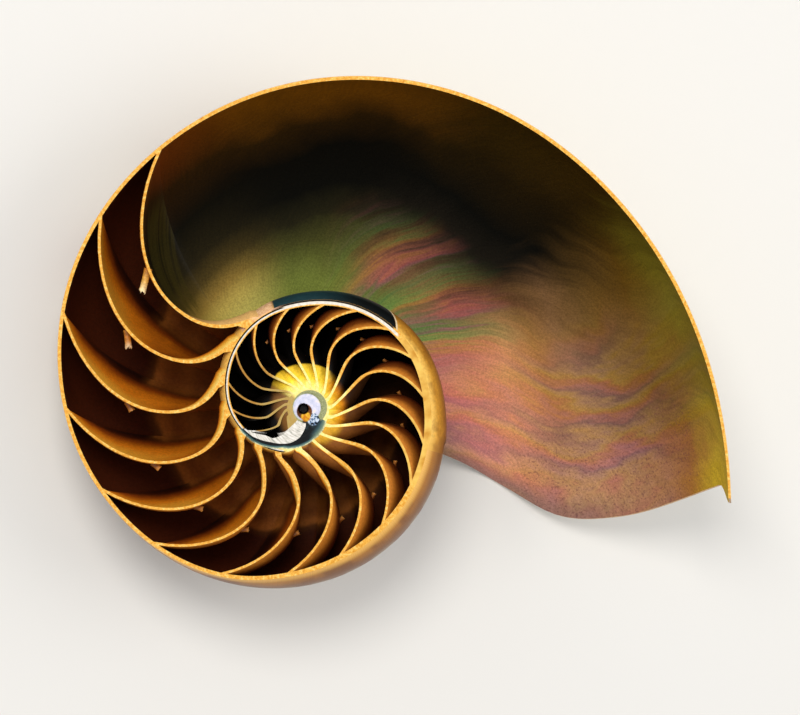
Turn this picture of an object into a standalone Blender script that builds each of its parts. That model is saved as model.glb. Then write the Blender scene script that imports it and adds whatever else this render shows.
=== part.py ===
"""Half of a nautilus shell, sawn along its coil and lying on its rounded side.

The shell is worked out in its own frame first: the coil axis is +Z, the saw cut is the
plane z = 0 and the kept half lies below it. Growth is measured as a turn angle in
degrees, counter-clockwise, going inward from the lip. The finished half is then tipped
by the few degrees at which it comes to rest and set down on z = 0.
"""

import math

import bmesh
import bpy
from mathutils import Euler, Vector

# Driving dimensions, in millimetres and degrees
MM = 0.001
NODE = "nautilus_shell_half"

# Outer radius of the coil, from the lip inward, one value every 30 degrees of turn
RADIUS_FIRST_TURN = -30.0
RADIUS_STEP = 30.0
COIL_RADII = (
    93.7, 83.3, 76.4, 71.5, 66.2, 60.3, 54.6, 48.6, 43.1, 38.9, 35.4, 32.3,
    29.8, 27.7, 26.7, 25.2, 23.4, 22.0, 19.6, 16.6, 13.2, 10.6, 9.7, 9.4,
    9.2, 9.0, 8.9, 8.8, 8.6, 8.3, 7.9, 7.4, 6.9, 6.4,
)

# How far the middle of the whorl lies below the saw cut: (turn, depth)
CUT_OFFSETS = (
    (-60, 4.0), (60, 3.6), (150, 2.6), (210, 3.0), (240, 4.8), (264, 7.0), (290, 7.6),
    (330, 7.3), (360, 6.6), (401, 5.7), (445, 4.9), (510, 4.0), (560, 2.9), (600, 2.2),
    (620, 3.3), (660, 3.6), (1000, 3.6),
)
CUT_OFFSET_LIMIT = 0.997

# The whorl's section, as fractions of the radius
SECTION_MIDDLE = 0.46
SECTION_HALF_BREADTH = 0.375
SECTION_POWER = 2.1
# Depth of the outer face at the axis, and of the hollow whorl's floor there, which rises
# to a share of the whorl's own depth over these turns
UMBILICUS_DEPTH = 18.0
UMBILICUS_POWER = 1.5
INNER_UMBILICUS_SHARE = 0.9
INNER_UMBILICUS_TURNS = (290.0, 400.0)

# The lip: (fraction of the radius, turn)
LIP = (
    (0.0, -18.2), (0.34, -18.9), (0.48, -21.8), (0.61, -23.3), (0.75, -19.4),
    (0.90, -13.5), (0.978, -10.6), (0.99, -10.5), (1.0, -12.4),
)
LIP_BASE_TURN = -18.0
LIP_FADE_TURN = 50.0
LIP_FADE_POWER = 1.5

# Wall thickness, and the turns over which it thins towards the core
WALL = 0.70
INNER_WALL = 0.55
INNER_WALL_TURNS = (300.0, 400.0)
# Extra layer on the floor of the body chamber, and the turns over which it thins to nothing
FLOOR_LAYER = 0.30
FLOOR_LAYER_END = (110.0, 160.0)

# The septa: the turn at which each one meets the outer wall, in the cut
SEPTUM_TURNS = (
    119.6, 137.0, 158.6, 180.1, 201.7, 221.7, 243.3, 264.4, 283.8, 304.4, 325.4, 344.9,
    367.2, 387.2, 405.1, 423.6, 441.0, 460.5, 480.5, 500.5, 521.0, 540.0, 560.0, 582.0,
)
# Their shape by number: how far they bow back, where, and how far their root runs forward
SEPTUM_BOW = ((1, 22.4), (7, 22.2), (12, 23.8), (16, 21.6), (18, 18.5), (20, 13.3), (24, 8.0))
SEPTUM_BOW_HEIGHT = ((1, 0.37), (4, 0.38), (8, 0.45), (24, 0.46))
SEPTUM_ROOT = ((1, -10.5), (4, -14.0), (7, -15.5), (12, -9.0), (15, -8.0), (19, -15.0), (24, -32.0))
SEPTUM_ROUNDNESS = ((1, 2.35), (4, 2.2), (8, 1.65), (24, 1.6))
SEPTUM_THICKNESS = ((1, 0.60), (12, 0.50), (24, 0.36))
SEPTUM_VENTRAL_POWER = 1.95
FULL_BOW = 22.0
# Where along its line a septum's front starts, and how high its back starts
FRONT_START = 0.06
BACK_START_HEIGHT = 0.035
LINE_STEP = 0.01
# How the dish of a septum flattens with depth and how its flank bows back
DISH_FLATTENING = 0.7
DISH_FLATTENING_POWER = 2.2
FLANK_BOW = 14.0
FLANK_BOW_DEPTH = 0.72
FLANK_BOW_LAST = 1.35
FLANK_BOW_POWER = 1.5
NARROWEST_CHAMBER = 1.6

# Siphon tubes on the back of the larger septa
SIPHON_SEPTA = 12
SIPHON_HEIGHT = 0.57
SIPHON_RADIUS = 0.014
SIPHON_ROOT_SWELL = 1.15
SIPHON_TIP_SWELL = 0.85
SIPHON_LENGTH = 0.075
SIPHON_SIDES = 6
SIPHON_BACK_TURN = 8.0
SIPHON_INWARD = 0.07
SIPHON_SUNK_START = 0.4
SIPHON_LEAST_DEPTH = 1.5
SIPHON_DEPTH_STEP = 0.005

# Where a section line leaves the whorl's widest place for the umbilicus
OUTER_FLANK = 0.62
INNER_FLANK = 0.80
SEAM = 0.80

# How finely the curves are cut into flat faces
OUTER_STATIONS = 44
OUTER_RIM_POINTS = 8
OUTER_BASE_POINTS = 4
CUTTER_RISE = 0.15
BODY_FLAT_STATIONS = 14
BODY_BENT_STATIONS = 3
BODY_HEIGHTS = 8
BODY_DEPTHS = 10
# Stations, heights and depths of a chamber, from the septum of each number inward
CHAMBER_GRIDS = ((1, (2, 7, 7)), (10, (2, 6, 6)), (18, (1, 5, 5)))

# The half's resting pose
REST_TILT = (-1.19, -11.917, 0.0)

SHELL_COLOUR = (0.62, 0.42, 0.20, 1.0)
SHELL_ROUGHNESS = 0.3


def smooth_value(knots, place):
    """Value at a place on a smooth curve through (place, value) knots."""
    last = len(knots) - 1
    place = min(max(place, knots[0][0]), knots[last][0])
    low = 0
    while low < last - 1 and place > knots[low + 1][0]:
        low += 1

    def slope(index):
        before = knots[max(index - 1, 0)]
        after = knots[min(index + 1, last)]
        return (after[1] - before[1]) / (after[0] - before[0])

    start, end = knots[low], knots[low + 1]
    span = end[0] - start[0]
    t = (place - start[0]) / span
    rise = t * t * (3 - 2 * t)
    value = start[1] + (end[1] - start[1]) * rise
    value += span * slope(low) * t * (1 - t) ** 2
    value -= span * slope(low + 1) * t * t * (1 - t)
    return value


def share_between(place, limits):
    """0 at the first limit, 1 at the second and evenly between."""
    return min(max((place - limits[0]) / (limits[1] - limits[0]), 0.0), 1.0)


LOG_RADII = tuple(
    (RADIUS_FIRST_TURN + RADIUS_STEP * index, math.log(radius))
    for index, radius in enumerate(COIL_RADII)
)


def coil_radius(turn):
    return math.exp(smooth_value(LOG_RADII, turn))


def cut_offset(turn):
    """Depth of the whorl's middle plane below the cut, always shallow enough to be cut."""
    most = CUT_OFFSET_LIMIT * SECTION_HALF_BREADTH * coil_radius(turn)
    return min(smooth_value(CUT_OFFSETS, turn), most)


def signed_power(value, power):
    return math.copysign(abs(value) ** power, value)


def whorl_point(turn, part, inset, umbilicus, rim_share):
    """Distance from the axis and height, on the outer face of a whorl's section.

    part runs from 0 at the cut, past the widest place at rim_share, to 1 at the axis.
    """
    radius = coil_radius(turn)
    offset = cut_offset(turn)
    middle = SECTION_MIDDLE * radius
    half_width = radius - middle - inset
    half_breadth = SECTION_HALF_BREADTH * radius - inset
    if part <= rim_share:
        ratio = min(offset / half_breadth, CUT_OFFSET_LIMIT)
        top = math.asin(ratio ** (SECTION_POWER / 2))
        angle = top + (-math.pi / 2 - top) * part / rim_share
        across = abs(math.cos(angle)) ** (2 / SECTION_POWER)
        up = signed_power(math.sin(angle), 2 / SECTION_POWER)
        return middle + half_width * across, half_breadth * up - offset
    inward = 1 - (part - rim_share) / (1 - rim_share)
    rise = 1 - (1 - inward * inward) ** UMBILICUS_POWER
    lowest = -offset - half_breadth
    axis_height = -umbilicus + inset
    return middle * inward, axis_height + (lowest - axis_height) * rise


def umbilicus_depth(turn):
    """Depth of the hollow whorl's floor at the axis: shallower in the inner turns."""
    whorl_depth = cut_offset(turn) + SECTION_HALF_BREADTH * coil_radius(turn)
    inner = INNER_UMBILICUS_SHARE * whorl_depth
    share = share_between(turn, INNER_UMBILICUS_TURNS)
    share = share * share * (3 - 2 * share)
    return UMBILICUS_DEPTH + (inner - UMBILICUS_DEPTH) * share


def wall_at(turn):
    """Thickness of the outer wall, thinner in the inner turns."""
    return WALL + (INNER_WALL - WALL) * share_between(turn, INNER_WALL_TURNS)


def outer_edge(turn, depth):
    """Outer side of the hollow whorl, from the cut at depth 0 to the seam at depth 1."""
    seam = SEAM * SECTION_MIDDLE * coil_radius(turn + 360)
    inward = seam / (SECTION_MIDDLE * coil_radius(turn))
    last_part = 1 - (1 - OUTER_FLANK) * inward
    part = depth
    if depth > OUTER_FLANK:
        run = (depth - OUTER_FLANK) / (1 - OUTER_FLANK)
        part = OUTER_FLANK + (last_part - OUTER_FLANK) * run
    return whorl_point(turn, part, wall_at(turn), umbilicus_depth(turn), OUTER_FLANK)


def floor_layer(turn):
    return FLOOR_LAYER * (1 - share_between(turn, FLOOR_LAYER_END))


def inner_edge(turn, depth):
    """Inner side of the hollow whorl: the outer face of the turn inside it."""
    inner_turn = turn + 360
    layer = floor_layer(turn)
    if depth <= INNER_FLANK:
        return whorl_point(inner_turn, depth, -layer, 0.0, INNER_FLANK)
    radius = coil_radius(inner_turn)
    share = (depth - INNER_FLANK) / (1 - INNER_FLANK)
    middle = SECTION_MIDDLE * radius
    floor = -cut_offset(inner_turn) - SECTION_HALF_BREADTH * radius - layer
    return middle * (1 - (1 - SEAM) * share), floor


def place_on_turn(turn, distance, height):
    angle = math.radians(turn)
    return Vector((distance * math.cos(angle), distance * math.sin(angle), height))


def hollow_point(turn, height, depth):
    """Point inside a whorl: height 0 to 1 from its inner to its outer side."""
    inner = inner_edge(turn, depth)
    outer = outer_edge(turn, depth)
    distance = inner[0] + (outer[0] - inner[0]) * height
    level = inner[1] + (outer[1] - inner[1]) * height
    return place_on_turn(turn, distance, level)


def lip_shift(turn, fraction):
    """How far the growth lines lead or trail, fading out behind the lip."""
    fade = 1 - share_between(turn, (LIP_BASE_TURN, LIP_FADE_TURN))
    return (smooth_value(LIP, fraction) - LIP_BASE_TURN) * fade ** LIP_FADE_POWER


def septum_line(number, share):
    """Turn from the septum's outer end, and height: share 0 at its root, 1 at its outer end."""
    bow = smooth_value(SEPTUM_BOW, number)
    bow_height = smooth_value(SEPTUM_BOW_HEIGHT, number)
    root = smooth_value(SEPTUM_ROOT, number)
    power = 2 / smooth_value(SEPTUM_ROUNDNESS, number)
    if share < 0.5:
        angle = share * math.pi
        across = 1 - math.cos(angle) ** power
        forward = 1 - math.sin(angle) ** power
        return bow - (bow - root) * forward, bow_height * across
    up = (share - 0.5) * 2
    return bow * (1 - up ** SEPTUM_VENTRAL_POWER), bow_height + (1 - bow_height) * up


def septum_face(number, step, steps, side):
    """Turn and height of one face of a septum; side is 1 for its back and -1 for its front."""
    first_share = FRONT_START
    if side > 0:
        first_share = 0.5
        while septum_line(number, first_share)[1] > BACK_START_HEIGHT:
            first_share -= LINE_STEP
    share = first_share + (1 - first_share) * step / steps
    turn, height = septum_line(number, share)
    before = septum_line(number, max(share - LINE_STEP, 0.0))
    after = septum_line(number, min(share + LINE_STEP, 1.0))
    base_turn = SEPTUM_TURNS[number - 1]
    inner = inner_edge(base_turn + turn, 0.0)[0]
    rise = outer_edge(base_turn + turn, 0.0)[0] - inner
    distance = inner + rise * height
    along = math.radians(after[0] - before[0]) * distance
    up = (after[1] - before[1]) * rise
    length = math.hypot(along, up)
    half = side * smooth_value(SEPTUM_THICKNESS, number) / 2
    if step == steps:
        return turn + math.degrees(half * length / up / distance), 1.0
    turn += math.degrees(half * up / length / distance)
    height -= half * along / length / rise
    if step == 0:
        height = 0.0
    return turn, max(height, 0.0)


def septum_turn(number, turn, height, depth):
    """Turn of a point on a dished septum, from its turn and height in the cut."""
    flat = 1 - DISH_FLATTENING * depth ** DISH_FLATTENING_POWER
    flank = math.sin(min(depth / FLANK_BOW_DEPTH, FLANK_BOW_LAST) * math.pi / 2) ** 2
    strength = smooth_value(SEPTUM_BOW, number) / FULL_BOW
    bow = FLANK_BOW * flank * strength * height ** FLANK_BOW_POWER
    return SEPTUM_TURNS[number - 1] + turn * flat + bow


def add_block(mesh, counts, place):
    """Closed six-sided block whose outside is a grid of points given by place(a, b, c)."""
    corners = {}

    def corner(index):
        if index not in corners:
            corners[index] = mesh.verts.new(place(*index))
        return corners[index]

    for axis in range(3):
        first, second = [other for other in range(3) if other != axis]
        for end in (0, counts[axis]):
            for i in range(counts[first]):
                for j in range(counts[second]):
                    loop = []
                    for di, dj in ((0, 0), (1, 0), (1, 1), (0, 1)):
                        index = [0, 0, 0]
                        index[axis] = end
                        index[first] = i + di
                        index[second] = j + dj
                        loop.append(corner(tuple(index)))
                    mesh.faces.new(loop)


def raised_point(place_at, depth_step, depth_steps):
    """A cutter's point; its top row stands above the cut and keeps the cut line true."""
    if depth_step > 0:
        return place_at(depth_step / depth_steps) * MM
    rim = place_at(0.0)
    below = place_at(1 / depth_steps)
    return (rim + (rim - below) * (CUTTER_RISE / (rim.z - below.z))) * MM


def add_chamber(mesh, number):
    """Hollow between one septum and the next one in."""
    for first_number, grid in CHAMBER_GRIDS:
        if number >= first_number:
            stations, heights, depths = grid

    def place(station, height_step, depth_step):
        def place_at(depth):
            front = septum_face(number, height_step, heights, 1)
            back = septum_face(number + 1, height_step, heights, -1)
            front_turn = septum_turn(number, front[0], front[1], depth)
            back_turn = septum_turn(number + 1, back[0], back[1], depth)
            back_turn = max(back_turn, front_turn + NARROWEST_CHAMBER)
            share = station / stations
            turn = front_turn + (back_turn - front_turn) * share
            height = front[1] + (back[1] - front[1]) * share
            return hollow_point(turn, height, depth)

        return raised_point(place_at, depth_step, depths)

    add_block(mesh, (stations, heights, depths), place)


def add_body_chamber(mesh):
    """Hollow from beyond the lip back to the first septum."""
    stations = BODY_FLAT_STATIONS + BODY_BENT_STATIONS
    station_turn = 360.0 / OUTER_STATIONS

    def place(station, height_step, depth_step):
        def place_at(depth):
            septum = septum_face(1, height_step, BODY_HEIGHTS, -1)
            flat_turn = LIP_BASE_TURN + station_turn * (min(station, BODY_FLAT_STATIONS) - 1)
            distance = outer_edge(flat_turn, depth)[0]
            fraction = distance / (coil_radius(flat_turn) - wall_at(flat_turn))
            turn = flat_turn + lip_shift(flat_turn, min(fraction, 1.0))
            bent_share = max(station - BODY_FLAT_STATIONS, 0) / BODY_BENT_STATIONS
            bent_turn = septum_turn(1, septum[0], septum[1], depth)
            turn += (bent_turn - turn) * bent_share
            return hollow_point(turn, septum[1], depth)

        return raised_point(place_at, depth_step, BODY_DEPTHS)

    add_block(mesh, (stations, BODY_HEIGHTS, BODY_DEPTHS), place)


def add_outside(mesh):
    """The half as if solid: the last turn's outer face, the flat cut and the lip's face."""
    points = OUTER_RIM_POINTS + OUTER_BASE_POINTS
    rim_share = OUTER_RIM_POINTS / points
    rows = []
    for station in range(OUTER_STATIONS + 1):
        flat_turn = LIP_BASE_TURN + 360.0 * station / OUTER_STATIONS
        row = []
        for point in range(points):
            part = point / points
            distance, level = whorl_point(flat_turn, part, 0.0, UMBILICUS_DEPTH, rim_share)
            fraction = min(distance / coil_radius(flat_turn), 1.0)
            turn = flat_turn + lip_shift(flat_turn, fraction)
            distance, level = whorl_point(turn, part, 0.0, UMBILICUS_DEPTH, rim_share)
            row.append(mesh.verts.new(place_on_turn(turn, distance, level) * MM))
        rows.append(row)
    cut_middle = mesh.verts.new((0.0, 0.0, 0.0))
    base_middle = mesh.verts.new((0.0, 0.0, -UMBILICUS_DEPTH * MM))
    for before, after in zip(rows, rows[1:] + rows[:1]):
        mesh.faces.new((cut_middle, before[0], after[0]))
        for point in range(points - 1):
            mesh.faces.new((before[point], before[point + 1], after[point + 1], after[point]))
        mesh.faces.new((before[-1], base_middle, after[-1]))


def add_siphon_tubes(mesh):
    """Short tubes that stand on the back of each larger septum, just below the cut."""
    for number in range(1, SIPHON_SEPTA + 1):
        share = 0.5
        while septum_line(number, share)[1] < SIPHON_HEIGHT:
            share += LINE_STEP
        turn, height = septum_line(number, share)
        scale = coil_radius(SEPTUM_TURNS[number - 1])
        radius = SIPHON_RADIUS * scale
        sunk = max(cut_offset(SEPTUM_TURNS[number - 1]), radius * SIPHON_LEAST_DEPTH)
        depth = 0.0
        start = hollow_point(septum_turn(number, turn, height, depth), height, depth)
        while start.z > -sunk:
            depth += SIPHON_DEPTH_STEP
            start = hollow_point(septum_turn(number, turn, height, depth), height, depth)
        septum_place = septum_turn(number, turn, height, depth)
        behind = hollow_point(septum_place + SIPHON_BACK_TURN, height - SIPHON_INWARD, depth)
        axis = (behind - start).normalized()
        length = SIPHON_LENGTH * scale
        turned = Vector((0, 0, 1)).rotation_difference(axis).to_matrix().to_4x4()
        turned.translation = (start + axis * (length / 2 - SIPHON_SUNK_START)) * MM
        bmesh.ops.create_cone(
            mesh, cap_ends=True, segments=SIPHON_SIDES,
            radius1=radius * SIPHON_ROOT_SWELL * MM, radius2=radius * SIPHON_TIP_SWELL * MM,
            depth=length * MM, matrix=turned,
        )


def make_object(name, collection, fill):
    """Object whose mesh is filled by a function and whose faces all point outward."""
    mesh = bmesh.new()
    fill(mesh)
    bmesh.ops.triangulate(mesh, faces=mesh.faces)
    bmesh.ops.recalc_face_normals(mesh, faces=mesh.faces)
    data = bpy.data.meshes.new(name)
    mesh.to_mesh(data)
    mesh.free()
    made = bpy.data.objects.new(name, data)
    collection.objects.link(made)
    return made


def fill_hollows(mesh):
    add_body_chamber(mesh)
    for number in range(1, len(SEPTUM_TURNS)):
        add_chamber(mesh, number)


def add_boolean(target, cutter, operation):
    boolean = target.modifiers.new(cutter.name, "BOOLEAN")
    boolean.operation = operation
    boolean.solver = "EXACT"
    boolean.object = cutter
    cutter.hide_render = True
    cutter.display_type = "WIRE"
    cutter.parent = target


def shell_material():
    material = bpy.data.materials.new("shell")
    material.use_nodes = True
    surface = material.node_tree.nodes["Principled BSDF"]
    surface.inputs["Base Color"].default_value = SHELL_COLOUR
    surface.inputs["Roughness"].default_value = SHELL_ROUGHNESS
    surface.inputs["Metallic"].default_value = 0.0
    return material


def set_down(shell):
    """Tip the half to its resting pose and stand it on z = 0, middle of its box at the origin."""
    shell.rotation_euler = Euler([math.radians(angle) for angle in REST_TILT])
    turned = shell.rotation_euler.to_matrix()
    places = [turned @ vertex.co for vertex in shell.data.vertices]
    lows = [min(place[axis] for place in places) for axis in range(3)]
    highs = [max(place[axis] for place in places) for axis in range(3)]
    shell.location = (-(lows[0] + highs[0]) / 2, -(lows[1] + highs[1]) / 2, -lows[2])


def build():
    for old in list(bpy.data.objects):
        bpy.data.objects.remove(old, do_unlink=True)
    parts = bpy.data.collections.new("nautilus shell half")
    cutters = bpy.data.collections.new("cutters")
    bpy.context.scene.collection.children.link(parts)
    bpy.context.scene.collection.children.link(cutters)
    shell = make_object(NODE, parts, add_outside)
    hollows = make_object("hollows", cutters, fill_hollows)
    tubes = make_object("siphon_tubes", cutters, add_siphon_tubes)
    add_boolean(shell, hollows, "DIFFERENCE")
    add_boolean(shell, tubes, "UNION")
    shell.data.materials.append(shell_material())
    set_down(shell)


build()
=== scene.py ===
"""The look of a nautilus shell half: fine surface, materials, studio light and camera.

The shell is worked out in its own frame, in millimetres: the coil axis is +Z, the saw cut
is z = 0 and the kept half lies below it. Growth is measured as a turn angle in degrees,
counter-clockwise, going inward from the lip. The finished skin is then tipped and set
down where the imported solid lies.
"""

import math
from functools import cached_property

import bpy
from mathutils import Euler, Matrix, Vector, noise
from mathutils.geometry import delaunay_2d_cdt


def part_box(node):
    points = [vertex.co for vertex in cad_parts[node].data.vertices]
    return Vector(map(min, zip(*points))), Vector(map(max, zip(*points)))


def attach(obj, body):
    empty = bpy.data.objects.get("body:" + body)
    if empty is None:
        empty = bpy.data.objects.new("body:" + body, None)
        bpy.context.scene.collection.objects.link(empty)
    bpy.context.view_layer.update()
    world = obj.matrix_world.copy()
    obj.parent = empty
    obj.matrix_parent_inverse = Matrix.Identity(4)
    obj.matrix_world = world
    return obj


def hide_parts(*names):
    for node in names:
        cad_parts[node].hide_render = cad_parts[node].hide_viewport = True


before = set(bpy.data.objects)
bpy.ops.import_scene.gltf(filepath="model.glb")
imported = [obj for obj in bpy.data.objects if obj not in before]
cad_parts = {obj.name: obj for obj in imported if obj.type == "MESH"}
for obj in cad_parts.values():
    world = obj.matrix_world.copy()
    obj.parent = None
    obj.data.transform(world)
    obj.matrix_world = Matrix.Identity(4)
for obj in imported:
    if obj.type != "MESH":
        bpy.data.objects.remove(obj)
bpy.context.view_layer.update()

NODE = "nautilus_shell_half"
MM = 0.001
PIXEL = 0.2
HAIR = 0.05

# Outer radius of the coil, from the lip inward, one value every 30 degrees of turn
RADIUS_FIRST_TURN = -30.0
RADIUS_STEP = 30.0
COIL_RADII = (
    93.7, 83.3, 76.4, 71.5, 66.2, 60.3, 54.6, 48.6, 43.1, 38.9, 35.4, 32.3,
    29.8, 27.7, 26.7, 25.2, 23.4, 22.0, 19.6, 16.6, 13.2, 10.6, 9.7, 9.4,
    9.2, 9.0, 8.9, 8.8, 8.6, 8.3, 7.9, 7.4, 6.9, 6.4,
)

# How far the middle of the whorl lies below the saw cut: (turn, depth)
CUT_OFFSETS = (
    (-60, 4.0), (60, 3.6), (150, 2.6), (210, 3.0), (240, 4.8), (264, 7.0), (290, 7.6),
    (330, 7.3), (360, 6.6), (401, 5.7), (445, 4.9), (510, 4.0), (560, 2.9), (600, 2.2),
    (620, 3.3), (660, 3.6), (1000, 3.6),
)
CUT_OFFSET_LIMIT = 0.997

# The whorl's section, as fractions of the radius
SECTION_MIDDLE = 0.46
SECTION_HALF_BREADTH = 0.375
SECTION_POWER = 2.1
UMBILICUS_DEPTH = 18.0
UMBILICUS_POWER = 1.5
# The umbilicus of the inner turns, as a share of their own depth
INNER_UMBILICUS_SHARE = 0.9
INNER_UMBILICUS_TURNS = (290.0, 400.0)
# The turn written at the axis, where the outer faces of all turns meet
AXIS_TURN = 160.0

# The lip: (fraction of the radius, turn)
LIP = (
    (0.0, -18.2), (0.34, -18.9), (0.48, -21.8), (0.61, -23.3), (0.75, -19.4),
    (0.90, -13.5), (0.978, -10.6), (0.99, -10.5), (1.0, -12.4),
)
LIP_BASE_TURN = -18.0
LIP_FADE_TURN = 50.0
LIP_FADE_POWER = 1.5

WALL = 0.70
LIP_WALL = 0.45
LIP_WALL_TURNS = 30.0
INNER_WALL = 0.55
INNER_WALL_TURNS = (300.0, 400.0)
# The wall is filled up with white shell beside the smallest chambers
CORE_WALL = 1.55
CORE_WALL_TURNS = (556.0, 574.0)
# Extra layer on the floor of the body chamber, and the turns over which it thins to nothing
FLOOR_LAYER = 0.30
FLOOR_LAYER_END = (110.0, 160.0)

# The septa: the turn at which each one meets the outer wall, in the cut
SEPTUM_TURNS = (
    119.6, 137.0, 158.6, 180.1, 201.7, 221.7, 243.3, 264.4, 283.8, 304.4, 325.4, 344.9,
    367.2, 387.2, 405.1, 423.6, 441.0, 460.5, 480.5, 500.5, 521.0, 540.0, 560.0, 582.0,
)
# Their shape by number: how far they bow back, where, and how far their root runs forward
SEPTUM_BOW = ((1, 22.4), (7, 22.2), (12, 23.8), (16, 21.6), (18, 18.5), (20, 13.3), (24, 8.0))
SEPTUM_BOW_HEIGHT = ((1, 0.37), (4, 0.38), (8, 0.45), (24, 0.46))
SEPTUM_ROOT = ((1, -10.5), (4, -14.0), (7, -15.5), (12, -9.0), (15, -8.0), (19, -15.0), (24, -32.0))
SEPTUM_ROUNDNESS = ((1, 2.35), (4, 2.2), (8, 1.65), (24, 1.6))
SEPTUM_THICKNESS = ((1, 0.60), (12, 0.50), (24, 0.36))
SEPTUM_VENTRAL_POWER = 1.95
# Share of the way from root to outer end at which a septum bows back furthest
BOW_SHARE = 0.5
SHARE_STEP = 0.01
# How the bow flattens with depth, and how far the flanks bow for the full bow in the cut
DISH_FLATTENING = 0.7
DISH_FLATTENING_POWER = 2.2
FULL_BOW = 22.0
FLANK_BOW = 14.0
FLANK_BOW_DEPTH = 0.72
FLANK_BOW_LAST = 1.35
FLANK_BOW_POWER = 1.5
FRONT_START = 0.06
ROOT_HEIGHT = 0.035
NARROWEST_CHAMBER = 1.6
# Stations, heights and depths of the chambers' grids, up to the chamber of each number
CHAMBER_GRIDS = ((9, (11, 26, 28)), (17, (8, 22, 22)), (24, (7, 18, 16)))
# How much finer the rows of points are near the cut
CHAMBER_DEPTH_PULL = 1.25
BODY_DEPTH_PULL = 1.1

# Siphon tubes on the back of the larger septa
SIPHON_SEPTA = 18
SIPHON_HEIGHT = 0.61
SIPHON_RADIUS = 0.0125
SIPHON_LENGTH = 0.080
SIPHON_LENGTH_SHARES = (1.0, 0.78, 0.45)
SIPHON_BACK_TURN = 8.0
SIPHON_INWARD = 0.035
# Least depth of the tube's middle below the cut, in radii, and the step to look for its place
SIPHON_LEAST_DEPTH = 1.5
SIPHON_DEPTH_STEP = 0.005

# Where a section line leaves the whorl's widest place for the umbilicus
OUTER_FLANK = 0.62
INNER_FLANK = 0.80
SEAM = 0.80

# The part of the skin that each material covers
KINDS = ("nacre", "septum", "cut", "front", "back", "wall", "floor", "outside", "tube", "lip")


def smooth_value(knots, place):
    """Value at a place on a smooth curve through (place, value) knots."""
    last = len(knots) - 1
    place = min(max(place, knots[0][0]), knots[last][0])
    low = 0
    while low < last - 1 and place > knots[low + 1][0]:
        low += 1

    def slope(index):
        before = knots[max(index - 1, 0)]
        after = knots[min(index + 1, last)]
        return (after[1] - before[1]) / (after[0] - before[0])

    start, end = knots[low], knots[low + 1]
    span = end[0] - start[0]
    t = (place - start[0]) / span
    rise = t * t * (3 - 2 * t)
    value = start[1] + (end[1] - start[1]) * rise
    value += span * slope(low) * t * (1 - t) ** 2
    value -= span * slope(low + 1) * t * t * (1 - t)
    return value


def clamp(value, low=0.0, high=1.0):
    return min(max(value, low), high)


def ease(value):
    value = clamp(value)
    return value * value * (3 - 2 * value)


LOG_RADII = tuple(
    (RADIUS_FIRST_TURN + RADIUS_STEP * index, math.log(radius))
    for index, radius in enumerate(COIL_RADII)
)


def coil_radius(turn):
    return math.exp(smooth_value(LOG_RADII, turn))


def cut_offset(turn):
    """Depth of the whorl's middle plane below the cut, always shallow enough to be cut."""
    most = CUT_OFFSET_LIMIT * SECTION_HALF_BREADTH * coil_radius(turn)
    return min(smooth_value(CUT_OFFSETS, turn), most)


def signed_power(value, power):
    return math.copysign(abs(value) ** power, value)


def whorl_point(turn, part, inset, umbilicus, rim_share):
    """Distance from the axis and height, on the outer face of a whorl's section.

    part runs from 0 at the cut, past the widest place at rim_share, to 1 at the axis.
    """
    radius = coil_radius(turn)
    offset = cut_offset(turn)
    middle = SECTION_MIDDLE * radius
    half_width = radius - middle - inset
    half_breadth = SECTION_HALF_BREADTH * radius - inset
    if part <= rim_share:
        ratio = min(offset / half_breadth, CUT_OFFSET_LIMIT)
        top = math.asin(ratio ** (SECTION_POWER / 2))
        angle = top + (-math.pi / 2 - top) * part / rim_share
        across = abs(math.cos(angle)) ** (2 / SECTION_POWER)
        up = signed_power(math.sin(angle), 2 / SECTION_POWER)
        return middle + half_width * across, min(half_breadth * up - offset, 0.0)
    inward = 1 - (part - rim_share) / (1 - rim_share)
    rise = 1 - (1 - inward * inward) ** UMBILICUS_POWER
    lowest = -offset - half_breadth
    axis_height = -umbilicus + inset
    return middle * inward, axis_height + (lowest - axis_height) * rise


def umbilicus_depth(turn):
    """Depth of the hollow whorl's floor at the axis: shallower in the inner turns."""
    inner = cut_offset(turn) + SECTION_HALF_BREADTH * coil_radius(turn)
    inner *= INNER_UMBILICUS_SHARE
    start, end = INNER_UMBILICUS_TURNS
    return UMBILICUS_DEPTH + (inner - UMBILICUS_DEPTH) * ease((turn - start) / (end - start))


def wall_at(turn):
    """Thickness of the outer wall, thinner at the lip and in the inner turns."""
    if turn < LIP_FADE_TURN:
        return LIP_WALL + (WALL - LIP_WALL) * ease((turn - LIP_BASE_TURN) / LIP_WALL_TURNS)
    if turn > CORE_WALL_TURNS[0]:
        start, end = CORE_WALL_TURNS
        return INNER_WALL + (CORE_WALL - INNER_WALL) * ease((turn - start) / (end - start))
    start, end = INNER_WALL_TURNS
    return WALL + (INNER_WALL - WALL) * clamp((turn - start) / (end - start))


def outer_edge(turn, depth):
    """Outer side of the hollow whorl, from the cut at depth 0 to the seam at depth 1."""
    seam = SEAM * SECTION_MIDDLE * coil_radius(turn + 360)
    inward = seam / (SECTION_MIDDLE * coil_radius(turn))
    last_part = 1 - (1 - OUTER_FLANK) * inward
    part = depth
    if depth > OUTER_FLANK:
        run = (depth - OUTER_FLANK) / (1 - OUTER_FLANK)
        part = OUTER_FLANK + (last_part - OUTER_FLANK) * run
    return whorl_point(turn, part, wall_at(turn), umbilicus_depth(turn), OUTER_FLANK)


def floor_layer(turn):
    start, end = FLOOR_LAYER_END
    return FLOOR_LAYER * clamp((end - turn) / (end - start))


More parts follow.
